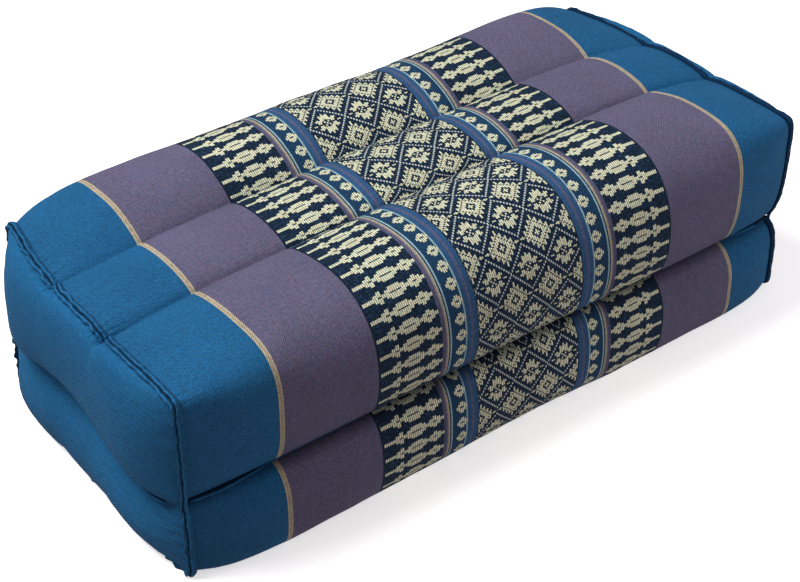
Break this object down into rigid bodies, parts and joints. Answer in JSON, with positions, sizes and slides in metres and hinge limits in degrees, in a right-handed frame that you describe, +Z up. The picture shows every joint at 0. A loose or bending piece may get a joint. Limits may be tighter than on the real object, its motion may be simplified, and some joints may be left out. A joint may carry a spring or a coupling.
{
  "type": "block meditation cushion",
  "caption": "Rectangular block cushion of two stacked stuffed tiers with a deep crease at mid height, lengthwise channels and bulging plain end panels with standing seam edges.",
  "frame": {"origin": "middle of the footprint, on the surface that the cushion rests on", "axes": "+X along the length towards the right end, +Y across to the back long side, +Z up"},
  "size_m": [0.3784, 0.182, 0.1146],
  "materials": {
    "patterned_cloth": "woven cotton with crosswise bands of blue, purple, beige and cream-on-navy pattern",
    "plain_cloth": "plain blue cotton with a fine diagonal weave, matt",
    "seam_cloth": "rolled and stitched edges of the same blue cotton, matt"
  },
  "bodies": {
    "root": {"upper_tier": "patterned_cloth", "lower_tier": "patterned_cloth", "left_end_panel": "plain_cloth", "right_end_panel": "plain_cloth", "left_end_seam": "seam_cloth", "right_end_seam": "seam_cloth", "left_middle_seam": "seam_cloth", "right_middle_seam": "seam_cloth", "front_middle_seam": "seam_cloth", "back_middle_seam": "seam_cloth"}
  },
  "joints": []
}
